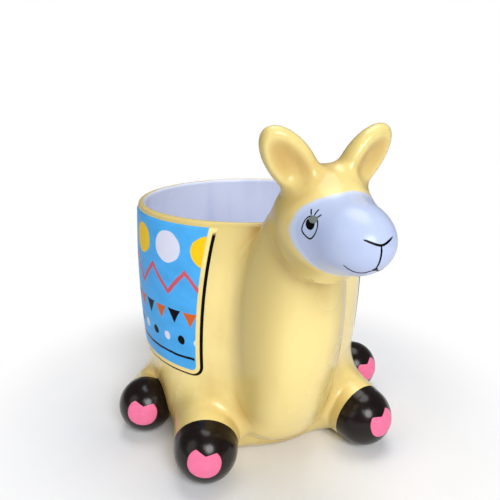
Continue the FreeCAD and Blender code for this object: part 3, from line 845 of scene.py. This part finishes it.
def blanket_paint():
    """The blankets' pattern: dots, a zigzag, pennants, beads and a stripe on blue, inside a black outline.

    The cloth attribute holds the distance round the wall from the flank's middle, the height, and the distance
    to the edge."""
    c = palette()

    def prepare(t, base, pooled, thin):
        u, v, d = t.node("SeparateXYZ", Vector=t.read("cloth", "Vector")).outputs
        wobble = t.node("TexNoise", Vector=t.place(), Scale=110.0, Detail=1.0)
        shift = t.node("SeparateColor", Color=wobble.outputs["Color"]).outputs
        u = t.add(u, t.ramp(shift[0], 0.2, 0.8, -0.35, 0.35))
        v = t.add(v, t.ramp(shift[1], 0.2, 0.8, -0.35, 0.35))

        def within(value, limit):
            soft = 0.22
            return t.ramp(value, limit + soft, limit - soft)

        def both(*masks):
            out = masks[0]
            for mask in masks[1:]:
                out = t.times(out, mask)
            return out

        def cell(row):
            """Distance from the middle of the nearest motif, and whether its number is odd."""
            along = t.over(t.minus(u, row.start), row.pitch)
            number = t.math("ROUND", along)
            odd = t.size(t.math("MODULO", number, 2.0))
            return t.times(t.minus(along, number), row.pitch), odd

        def oval(x, row):
            reach = t.far(t.over(x, row.across), t.over(t.minus(v, row.height), row.tall))
            return within(t.times(t.minus(reach, 1.0), min(row.across, row.tall)), 0.0)

        field = t.ramp(d, 4.8, 5.2)
        outline = both(t.ramp(d, 0.1, 0.4), t.ramp(d, 2.5, 2.1), t.ramp(v, 152.5, 149.5))
        seen = t.mix(outline, base, c.ink)
        brush = t.noise(t.place((1.0, 1.0, 2.0)), 70.0, 4.0, 0.6)
        seen = t.mix(field, seen, t.mix(t.ramp(brush, 0.3, 0.75), c.sky, tone(c.sky, 0.86)))
        x, odd = cell(DOTS)
        seen = t.mix(both(field, oval(x, DOTS)), seen, t.mix(odd, c.pearl, c.sun))
        peak = t.add(ZIGZAG.low, t.times(t.size(x), ZIGZAG.rise / ZIGZAG.run))
        line = t.times(t.size(t.minus(v, peak)), ZIGZAG.slant)
        seen = t.mix(both(field, within(line, ZIGZAG.half)), seen, c.rose)
        x, odd = cell(PENNANTS)
        taper = t.times(t.minus(v, PENNANTS.tip), PENNANTS.half / PENNANTS.tall)
        pennant = both(within(t.minus(t.size(x), taper), 0.0), within(v, PENNANTS.tip + PENNANTS.tall))
        seen = t.mix(both(field, pennant), seen, t.mix(odd, c.rust, c.ink))
        x, odd = cell(BEADS)
        seen = t.mix(both(field, oval(x, BEADS)), seen, t.mix(odd, c.ink, c.pearl))
        stripe = both(within(t.size(t.minus(v, STRIPE.height)), STRIPE.half), t.ramp(d, 5.6, 6.1))
        seen = t.mix(stripe, seen, c.ink)
        plain = t.math("MAXIMUM", field, outline)
        return seen, t.mix(plain, pooled, seen), t.mix(plain, thin, seen)

    return glaze("blanket_paint", yellow(), prepare, 0.0, 0.14, 0.05)


# Pieces.


class CrockOperator:
    """What the crock's operators share."""
    bl_options = {"REGISTER", "UNDO"}


def pot_line(s):
    """The pot's section, from the middle of its foot over the lip to the middle of its floor."""
    half, corner = s.lip_thickness / 2, s.floor_corner
    lip_height, top = s.rim_height - half, s.rim_radius - s.lip_thickness
    level = s.floor_thickness + corner
    inner_low, belly = wall_radius(level, s) - s.wall_thickness, 3.2
    line = [(r, 0.0) for r in np.linspace(0.0, s.heel_axis, 24)]
    line += [(s.heel_axis + s.heel_radius * math.sin(a), s.heel_radius - s.heel_radius * math.cos(a))
             for a in np.linspace(0.0, math.pi / 2 - math.atan(s.heel_slope), 22)[1:]]
    line += [(wall_radius(z, s), z) for z in np.linspace(line[-1][1], lip_height, 110)[1:]]
    line += [(s.rim_radius - half + half * math.cos(a), lip_height + half * math.sin(a))
             for a in np.linspace(0.0, math.pi, 20)[1:]]
    line += [(top + (inner_low - top) * t + belly * math.sin(math.pi * t), z)
             for t, z in zip(np.linspace(0, 1, 90)[1:], np.linspace(lip_height, level, 90)[1:])]
    line += [(inner_low - corner + corner * math.cos(a), level - corner * math.sin(a))
             for a in np.linspace(0.0, math.pi / 2, 16)[1:]]
    line += [(r, s.floor_thickness) for r in np.linspace(inner_low - corner, 0.0, 24)[1:]]
    return np.array(line, float)


def thrown(line, turns):
    """A closed mesh turned from a section that starts and ends on the axis, and each point's distance along it."""
    around = np.linspace(0, 2 * math.pi, turns, endpoint=False)

    def swing(pairs):
        return np.stack([np.outer(pairs[:, 0], np.sin(around)), np.outer(pairs[:, 0], -np.cos(around)),
                         np.repeat(pairs[:, 1:], turns, 1)], -1).reshape(-1, 3)

    run = np.gradient(line, axis=0)
    across = np.stack([run[:, 1], -run[:, 0]], 1)
    across /= np.linalg.norm(across, axis=1, keepdims=True)
    points, normals = swing(line[1:-1]), swing(across[1:-1])
    i, j = np.meshgrid(np.arange(len(line) - 3), np.arange(turns), indexing="ij")
    n = (j + 1) % turns
    faces = np.stack([i * turns + j, i * turns + n, (i + 1) * turns + n, (i + 1) * turns + j], -1).reshape(-1, 4)
    k, m, last = np.arange(turns), (np.arange(turns) + 1) % turns, (len(line) - 3) * turns
    start, end = np.full(turns, len(points)), np.full(turns, len(points) + 1)
    foot, well = np.stack([m, k, start, start], 1), np.stack([last + k, last + m, end, end], 1)
    ends = [[0, 0, line[0, 1]], [0, 0, line[-1, 1]]]
    piece = (np.concatenate([points, ends]), np.concatenate([faces, foot, well]),
             np.concatenate([normals, [[0, 0, -1], [0, 0, 1]]]))
    return piece, np.concatenate([np.repeat(np.cumsum(np.hypot(*run.T))[1:-1], turns), [-99, 99]])


class CROCK_OT_pot(CrockOperator, bpy.types.Operator):
    """Turn the pot: rounded heel, bellied wall, round lip and a smooth well"""
    bl_idname = "crock.pot"
    bl_label = "Pot"

    def execute(self, context):
        s = sizes()
        piece, over = thrown(pot_line(s), 224)
        points = piece[0]
        marks = pooling_and_painted_light(piece, s)
        inside = (from_axis(points) < s.rim_radius - s.lip_thickness / 2) & (points[:, 2] > 3)
        # Inside, the tint of hollows grows towards the well's floor, as pooled glaze and painted shade deep in the
        # well.
        marks["hollow"] = np.where(inside, np.clip((60 - points[:, 2]) / 90, 0, 1), marks["hollow"])
        marks["edge"] = np.where(inside, 0.0, marks["edge"])
        marks["inward"] = over - over[np.argmax(points[:, 2])] - 1.3
        set_piece("glazed_pot", piece, [pot_glaze()], "pot", marks)
        return {"FINISHED"}


class CROCK_OT_chest(CrockOperator, bpy.types.Operator):
    """Model the neck and chest, which grow out of the pot's wall and lip"""
    bl_idname = "crock.chest"
    bl_label = "Neck and Chest"

    def execute(self, context):
        s = sizes()
        lip, overlap = s.rim_radius - s.lip_thickness, 3.5
        points, faces, joined, past = grown(lambda p: rim_form(p, s), lambda p: neck_form(p, s),
                                            lambda p: body_fillet(p, s), *GRIDS["chest"])
        points, faces, _ = part_along(points, faces, joined, lambda p: from_axis(p) - lip - 0.1)
        points, _, faces = part_along(points, faces, joined, lambda p: -overlap - head_form(p, s))
        points, normals = tucked(points, joined, past)
        # Over the lip's inner edge the skin's cut side drops straight onto the lip.
        on_lip = (from_axis(points) < lip + 1.5) & (points[:, 2] > s.rim_height - 6)
        piece = shell(points, faces, normals, float(s.shell), np.where(on_lip[:, None], UP, normals))
        set_piece("glazed_chest", piece, [butter_glaze()], "chest", pooling_and_painted_light(piece, s))
        return {"FINISHED"}


def curve_through(points, steps, closed=False):
    """A smooth line through points."""
    points = np.array(points, float)
    if closed:
        points = np.concatenate([points[-1:], points, points[:2]])
    else:
        points = np.concatenate([2 * points[:1] - points[1:2], points, 2 * points[-1:] - points[-2:-1]])
    out = []
    for k in range(1, len(points) - 2):
        a, b, c, d = points[k - 1:k + 3]
        for t in np.linspace(0, 1, steps, endpoint=False):
            out.append(0.5 * (2 * b + (c - a) * t + (2 * a - 5 * b + 4 * c - d) * t ** 2
                              + (3 * b - a - 3 * c + d) * t ** 3))
    if not closed:
        out.append(points[-2])
    return np.array(out)


def stroke(path, width, form, closed=False):
    """A line of paint on a surface, rounded at its ends, as a thin closed strip."""
    path = settle(form, path, 4)
    normals = unit(slope_of(form, path))
    along = np.roll(path, -1, 0) - np.roll(path, 1, 0) if closed else np.gradient(path, axis=0)
    side = unit(np.cross(normals, along))
    if closed:
        wide = np.full(len(path), width / 2)
    else:
        t = np.linspace(0, 1, len(path))
        t = np.minimum(t, 1 - t)
        taper = np.sqrt(np.clip(t / 0.16, 0.004, 1)) * (1 - BLUNT) + BLUNT * np.clip(t / 0.02, 0.05, 1)
        wide = width / 2 * np.minimum(1, taper)
    rings = np.stack([path + side * (wide * x)[:, None] + normals * y for x, y in STROKE_PROFILE], 1)
    n, m = rings.shape[:2]
    faces = []
    for i in range(n if closed else n - 1):
        a, e = i * m, (i + 1) % n * m
        faces += [(a + j, a + (j + 1) % m, e + (j + 1) % m, e + j) for j in range(m)]
    if not closed:
        for ring in (list(range(m))[::-1], list(range((n - 1) * m, n * m))):
            faces += [(ring[0], ring[1], ring[2], ring[3]), (ring[0], ring[3], ring[4], ring[5])]
    return rings.reshape(-1, 3), np.array(faces), np.repeat(normals, m, 0)


def domed(rings, n):
    """Faces of a disc of rings of n points about a middle point, closed underneath by one more point."""
    last = 1 + (rings - 1) * n
    faces = []
    for j in range(n):
        k = (j + 1) % n
        faces.append((0, 1 + j, 1 + k, 1 + k))
        faces += [(r + j, r + n + j, r + n + k, r + k) for r in range(1, last, n)]
        faces.append((last + k, last + j, last + n, last + n))
    return np.array(faces)


def dab(centre, across, up, form):
    """An oval patch of paint on a surface, slightly domed, as a thin closed disc."""
    count, middle, depth = 40, 0.11, 0.45
    around = np.linspace(0, 2 * math.pi, count, endpoint=False)
    centre, across, up = (np.array(v, float) for v in (centre, across, up))
    rings, lifts = (0.35, 0.7, 0.92, 1.0), (0.11, 0.1, 0.07, -0.06)
    flat = [centre[None]] + [centre + r * (np.outer(np.cos(around), across) + np.outer(np.sin(around), up))
                             for r in rings]
    flat = settle(form, np.concatenate(flat), 5)
    normals = unit(slope_of(form, flat))
    top = flat + normals * np.concatenate([[middle], np.repeat(lifts, count)])[:, None]
    points = np.concatenate([top, [flat[0] - normals[0] * depth]])
    faces = domed(len(rings), count)
    a, b, c = points[faces[0, :3]]
    if np.dot(np.cross(b - a, c - a), normals[0]) < 0:
        faces = turned(faces)
    return points, faces, np.concatenate([normals, -normals[:1]])


def face_marks(form):
    """Eyes, lashes, nose and mouth: pieces of black and of grey paint."""

    def whole(half):
        """A line given to its middle, and on to the other side."""
        return half + tuple((-x, y, z) for x, y, z in half[-2::-1])

    right = [stroke(curve_through(EYE, 8, True), 0.85, form, True), dab(*PUPIL, form)]
    right += [stroke(curve_through(lash, 8), 0.95, form) for lash in LASHES]
    ink = [own for piece in right for own in (piece, mirror(piece))]
    points, faces, normals = dab(*LID, form)
    lid = (points + normals * 0.06, faces, normals)
    ink.append(stroke(curve_through(whole(HALF_NOSE), 8), 1.15, form))
    ink.append(stroke(curve_through(CLEFT, 10), 1.0, form))
    ink.append(stroke(curve_through(whole(HALF_MOUTH), 8), 1.05, form))
    ink.append(dab(*LIP, form))
    return ink, [lid, mirror(lid)]


def together(pieces):
    """Several pieces as one mesh, with the number of the piece that each face came from."""
    points, faces, normals, origin, start = [], [], [], [], 0
    for n, (p, f, v) in enumerate(pieces):
        points.append(p)
        faces.append(f + start)
        normals.append(v)
        origin.append(np.full(len(f), n))
        start += len(p)
    return (np.concatenate(points), np.concatenate(faces), np.concatenate(normals)), np.concatenate(origin)


class CROCK_OT_head(CrockOperator, bpy.types.Operator):
    """Model the head, part the white face from it and paint the eyes, nose and mouth"""
    bl_idname = "crock.head"
    bl_label = "Head and Face"

    def execute(self, context):
        s, c = sizes(), palette()
        points, faces, joined, past = grown(lambda p: body_form(p, s), lambda p: head_form(p, s),
                                            float(s.head_fillet), *GRIDS["head"])
        points, face, head = part_along(points, faces, joined, lambda p: -face_form(p, s))
        points, normals = tucked(points, joined, past)
        piece = shell(points, head, normals, float(s.shell))
        set_piece("glazed_head", piece, [patched_glaze("head_skin")], "head", pooling_and_painted_light(piece, s))
        ink, grey = face_marks(lambda p: head_form(p, s))
        piece, origin = together([shell(points, face, normals, float(s.shell))] + ink + grey)
        zones = np.where(origin == 0, 0, np.where(origin <= len(ink), 1, 2))
        paints = [patched_glaze("face_skin"), painted("ink_paint", c.ink, c.ink, tone(c.ink, 1.6)),
                  painted("lid_paint", c.lid, tone(c.lid, 0.7), tone(c.lid, 1.15))]
        set_piece("painted_face", piece, paints, "face", pooling_and_painted_light(piece, s), zones)
        return {"FINISHED"}


class CROCK_OT_ears(CrockOperator, bpy.types.Operator):
    """Model the two dished ears"""
    bl_idname = "crock.ears"
    bl_label = "Ears"

    def execute(self, context):
        s = sizes()
        thin, brim = 1.0, 2.6
        points, faces, joined, past = grown(lambda p: bare_form(p, s), lambda p: ear_form(p, s, 1),
                                            float(s.ear_fillet), *GRIDS["ears"])
        points, normals = tucked(points, joined, past)
        left = shell(points, faces, normals, thin)
        for side, piece in (("left", left), ("right", mirror(left))):
            marks, z = pooling_and_painted_light(piece, s), piece[0][:, 2]
            dish = smooth((brim - dish_form(piece[0], s, SIDES[side])) / brim) * smooth((z - 184) / 14)
            # The ear keeps a little pooled glaze and painted shade, and takes the airbrushed honey in its upper
            # dish.
            marks["hollow"] = np.clip(np.minimum(marks["hollow"], 0.4) + 0.7 * dish, 0, 1)
            name = side + "_ear"
            set_piece("glazed_" + name, piece, [butter_glaze()], name, marks)
        return {"FINISHED"}


def sole_pad(s, end):
    """The raised pad on the sole of the left hoof: two lobes with a notch between them over a round heel."""
    centre, radius = getattr(s, end + "_hoof"), float(getattr(s, end + "_hoof_radius"))
    facing = turn("Z", s.pad_splay) @ turn("X", -s.pad_tilt) @ np.array([0, -1.0, 0])
    right = unit(np.cross([UP], facing[None]))[0]
    up = np.cross(facing, right)
    lean = -s.pad_roll
    right, up = (right * math.cos(lean) - up * math.sin(lean), up * math.cos(lean) + right * math.sin(lean))
    count, square, depth = 144, 2.3, 1.2
    around = np.linspace(0, 2 * math.pi, count, endpoint=False)
    cos, sin = np.cos(around), np.sin(around)
    body = ((np.abs(cos) / s.pad_half) ** square + (np.abs(sin) / s.pad_half_height) ** square) ** (-1 / square)
    notch = s.pad_notch / np.maximum(sin - 0.48 * np.abs(cos), 0.05)
    outline = blend(body, notch, 0.9)
    rings, lifts = (0.3, 0.55, 0.75, 0.87, 0.94, 0.98, 1.0), (1.0, 0.99, 0.95, 0.86, 0.7, 0.35, -0.6)

    def lay(scale, lift):
        flat = np.outer(cos * outline * scale, right) + np.outer(sin * outline * scale, up)
        return unit(radius * facing + flat) * (radius + lift * s.pad_relief)

    points = np.concatenate([facing[None] * (radius + s.pad_relief)] + [lay(k, y) for k, y in zip(rings, lifts)]
                            + [facing[None] * (radius - depth)])
    faces = domed(len(rings), count)
    corner = points[faces[:, :3]]
    face_normals = np.cross(corner[:, 1] - corner[:, 0], corner[:, 2] - corner[:, 0])
    if np.dot(face_normals[0], facing) < 0:
        faces = turned(faces)
        face_normals = -face_normals
    normals = np.zeros_like(points)
    for k in range(4):
        np.add.at(normals, faces[:, k], face_normals)
    return points + centre, faces, unit(normals)


class CROCK_OT_legs(CrockOperator, bpy.types.Operator):
    """Model the four legs with their hooves and sole pads"""
    bl_idname = "crock.legs"
    bl_label = "Legs"

    def execute(self, context):
        s, c = sizes(), palette()
        black = painted("hoof_paint", c.hoof, tone(c.hoof, 0.6), tone(c.hoof, 1.7), 0.6)
        pink = painted("pad_paint", c.pad, tone(c.pad, 0.8), tone(c.pad, 1.1))
        for end, bases in (("front", body_form), ("rear", pot_form)):
            hoof, axis = getattr(s, end + "_hoof"), leg_axis(s, end)
            low, high = hoof - LEG_BOX[0], hoof + LEG_BOX[1]

            def fillet(p):
                """The fillet goes out at the hoof's painted edge."""
                least, behind = 1.2, -((p - hoof) @ axis) - s.hoof_back
                return least + (s.leg_fillet - least) * smooth(behind / 14)

            points, faces, joined, past = grown(lambda p: bases(p, s), lambda p: leg_form(p, s, end, 1),
                                                fillet, low, high, LEG_STEP)
            points, foot, leg = part_along(points, faces, joined, lambda p: (p - hoof) @ axis + s.hoof_back)
            points, normals = tucked(points, joined, past)
            for word, finish, look, slot, piece in (
                    ("leg", "glazed", butter_glaze(), "butter_glaze", shell(points, leg, normals, float(s.shell))),
                    ("hoof", "painted", black, "hoof_glaze", shell(points, foot, normals, float(s.shell))),
                    ("pad", "painted", pink, "pad_glaze", sole_pad(s, end))):
                for side in SIDES:
                    node = "%s_%s_%s" % (end, side, word)
                    own = piece if side == "left" else mirror(piece)
                    set_piece("%s_%s" % (finish, node), own, [look], node, pooling_and_painted_light(own, s))
        return {"FINISHED"}


def blanket(s, front_bottom, front_top):
    """A blanket on the left flank, and for each point its distance round the wall from the flank's middle, its
    height and its distance from the outline."""
    height, corner, thickness = s.blanket_top - s.blanket_bottom, s.blanket_corner, 1.2
    rise = np.linspace(0, 1, 17) ** 1.6 * corner
    z = np.concatenate([rise, np.linspace(corner, height, 96)[1:]]) + s.blanket_bottom
    wall = wall_radius(z, s)

    def reach(bottom, top):
        half = bottom + (top - bottom) * (z - s.blanket_bottom) / height
        return wall * np.arcsin(half / wall)

    ahead, behind = reach(front_bottom, front_top), reach(s.blanket_bottom_half, s.blanket_top_half)
    inset = corner - np.sqrt(np.clip(corner ** 2 - np.clip(corner - z + s.blanket_bottom, 0, None) ** 2, 0, None))
    across = np.linspace(-1, 1, 181)
    across = np.sign(across) * (1 - (1 - np.abs(across)) ** 1.15)
    along = np.where(across < 0, np.outer(ahead - inset, across), np.outer(behind - inset, across))
    slant = math.cos(math.atan((behind[-1] - behind[0]) / height))
    side = np.where(across < 0, ahead[:, None] + along, behind[:, None] - along) * slant
    level = np.repeat(z[:, None], len(across), 1)
    foot = level - s.blanket_bottom
    rounded = corner - np.hypot(np.clip(corner - side, 0, None), np.clip(corner - foot, 0, None))
    edge = np.where((side < corner) & (foot < corner), rounded, np.minimum(side, foot))
    lift = s.blanket_relief * (1.25 * smooth(np.minimum(edge, s.blanket_top - level) / 1.8) - 0.25)
    radius, around = wall[:, None] + lift, along / wall[:, None]
    points = np.stack([radius * np.cos(around), radius * np.sin(around), level], -1)
    normals = unit(np.cross(np.gradient(points, axis=1), np.gradient(points, axis=0)).reshape(-1, 3))
    rows, columns = along.shape
    i, j = np.meshgrid(np.arange(rows - 1), np.arange(columns - 1), indexing="ij")
    at = i * columns + j
    faces = np.stack([at, at + 1, at + columns + 1, at + columns], -1).reshape(-1, 4)
    cloth = np.stack([along, level, edge], -1).reshape(-1, 3)
    return shell(points.reshape(-1, 3), faces, normals, thickness), np.concatenate([cloth, cloth])


class CROCK_OT_blankets(CrockOperator, bpy.types.Operator):
    """Lay the two painted blankets on the flanks"""
    bl_idname = "crock.blankets"
    bl_label = "Blankets"

    def execute(self, context):
        s = sizes()
        paint = blanket_paint()
        left, left_cloth = blanket(s, s.left_front_bottom, s.left_front_top)
        right, right_cloth = blanket(s, s.blanket_bottom_half, s.blanket_top_half)
        for name, piece, cloth in (("left_blanket", left, left_cloth),
                                   ("right_blanket", mirror(right), right_cloth)):
            marks = pooling_and_painted_light(piece, s)
            marks["edge"] = np.zeros(len(cloth))
            marks["cloth"] = cloth
            set_piece("painted_" + name, piece, [paint], name, marks)
        return {"FINISHED"}


class CROCK_OT_tail(CrockOperator, bpy.types.Operator):
    """Model the tail on the back of the pot"""
    bl_idname = "crock.tail"
    bl_label = "Tail"

    def execute(self, context):
        s = sizes()
        points, faces, joined, past = grown(lambda p: pot_form(p, s), lambda p: tail_form(p, s),
                                            float(s.tail_fillet), *GRIDS["tail"])
        points, normals = tucked(points, joined, past)
        piece = shell(points, faces, normals, float(s.shell))
        set_piece("glazed_tail", piece, [butter_glaze()], "tail", pooling_and_painted_light(piece, s))
        return {"FINISHED"}


def looking(place, way):
    """Matrix of a lamp or camera at a place, looking along a way, upright."""
    back = -np.array(way, float) / np.linalg.norm(way)
    right = np.cross([0, 0, 1], back)
    right /= np.linalg.norm(right)
    up = np.cross(back, right)
    matrix = Matrix.Identity(4)
    for k in range(3):
        for n, axis in enumerate((right, up, back)):
            matrix[k][n] = axis[k]
        matrix[k][3] = place[k]
    return matrix


def pale_floor():
    """A pale floor that keeps the crock's shadow and is seen as white farther off."""
    material = bpy.data.materials.new("pale_floor")
    t = fresh_tree(material)
    pale = palette().floor
    grain = t.noise(t.place(), 30.0, 3.0)
    body = t.node("BsdfDiffuse", Color=t.mix(t.ramp(grain, 0.3, 0.7), pale, tone(pale, 0.985)))
    white = t.node("Emission", Color=WHITE, Strength=1.0)
    x, y, _ = t.node("SeparateXYZ", Vector=t.place()).outputs
    fade = t.times(t.ramp(t.far(x, y), 0.12, 0.22), t.node("LightPath").outputs["Is Camera Ray"])
    t.node("OutputMaterial", Surface=t.mix_shaders(fade, body, white))
    return material


def studio():
    """A dim world round the crock that is itself seen as white."""
    world = bpy.data.worlds.new("studio")
    t = fresh_tree(world)
    path = t.node("LightPath").outputs
    seen = t.math("MAXIMUM", path["Is Camera Ray"], path["Is Transmission Ray"])
    around = t.node("Background", Color=(0.97, 0.98, 1.0), Strength=0.18)
    white = t.node("Background", Color=WHITE, Strength=1.0)
    t.node("OutputWorld", Surface=t.mix_shaders(seen, around, white))
    return world


class CROCK_OT_stage(CrockOperator, bpy.types.Operator):
    """Set the floor, the lights and the camera"""
    bl_idname = "crock.stage"
    bl_label = "Stage"

    def execute(self, context):
        scene = context.scene
        mesh = bpy.data.meshes.new("floor")
        mesh.from_pydata([(-6, -6, 0), (6, -6, 0), (6, 6, 0), (-6, 6, 0)], [], [(0, 1, 2, 3)])
        mesh.materials.append(pale_floor())
        floor = bpy.data.objects.new("floor", mesh)
        scene.collection.objects.link(floor)
        scene.world = studio()
        for name, (place, aim, wide, tall, power) in LAMPS.items():
            lamp = bpy.data.lights.new(name, "AREA")
            lamp.shape = "ELLIPSE"
            lamp.size, lamp.size_y, lamp.energy = wide, tall, power
            obj = bpy.data.objects.new(name, lamp)
            obj.matrix_world = looking(place, np.array(aim, float) - np.array(place, float))
            scene.collection.objects.link(obj)
        lens = bpy.data.cameras.new("camera")
        lens.sensor_fit = "HORIZONTAL"
        lens.sensor_width, lens.lens = SENSOR, LENS
        lens.clip_start, lens.clip_end = 0.01, 50.0
        camera = bpy.data.objects.new("camera", lens)
        level = math.cos(CAMERA_PITCH)
        camera.matrix_world = looking(CAMERA_PLACE, (-math.sin(CAMERA_AZIMUTH) * level,
                                                     math.cos(CAMERA_AZIMUTH) * level, -math.sin(CAMERA_PITCH)))
        scene.collection.objects.link(camera)
        scene.camera = camera
        scene.view_settings.view_transform = "Standard"
        return {"FINISHED"}


class VIEW3D_PT_crock(bpy.types.Panel):
    """The crock's steps, sizes and colours"""
    bl_label = "Llama Crock"
    bl_idname = "VIEW3D_PT_crock"
    bl_space_type = "VIEW_3D"
    bl_region_type = "UI"
    bl_category = "Crock"

    def draw(self, context):
        for step in STEPS:
            self.layout.operator(step.bl_idname)
        for group_name in ("crock_sizes", "crock_colours"):
            box = self.layout.box()
            values = getattr(context.scene, group_name)
            for key in type(values).__annotations__:
                box.prop(values, key)


STEPS = (CROCK_OT_pot, CROCK_OT_chest, CROCK_OT_head, CROCK_OT_ears, CROCK_OT_legs, CROCK_OT_blankets,
         CROCK_OT_tail, CROCK_OT_stage)
CLASSES = (CrockSizes, CrockColours) + STEPS + (VIEW3D_PT_crock,)


def register():
    for cls in CLASSES:
        bpy.utils.register_class(cls)
    bpy.types.Scene.crock_sizes = PointerProperty(type=CrockSizes)
    bpy.types.Scene.crock_colours = PointerProperty(type=CrockColours)


def unregister():
    del bpy.types.Scene.crock_sizes
    del bpy.types.Scene.crock_colours
    for cls in reversed(CLASSES):
        bpy.utils.unregister_class(cls)


def main():
    register()
    bpy.ops.crock.pot()
    bpy.ops.crock.chest()
    bpy.ops.crock.head()
    bpy.ops.crock.ears()
    bpy.ops.crock.legs()
    bpy.ops.crock.blankets()
    bpy.ops.crock.tail()
    bpy.ops.crock.stage()


if __name__ == "__main__":
    main()
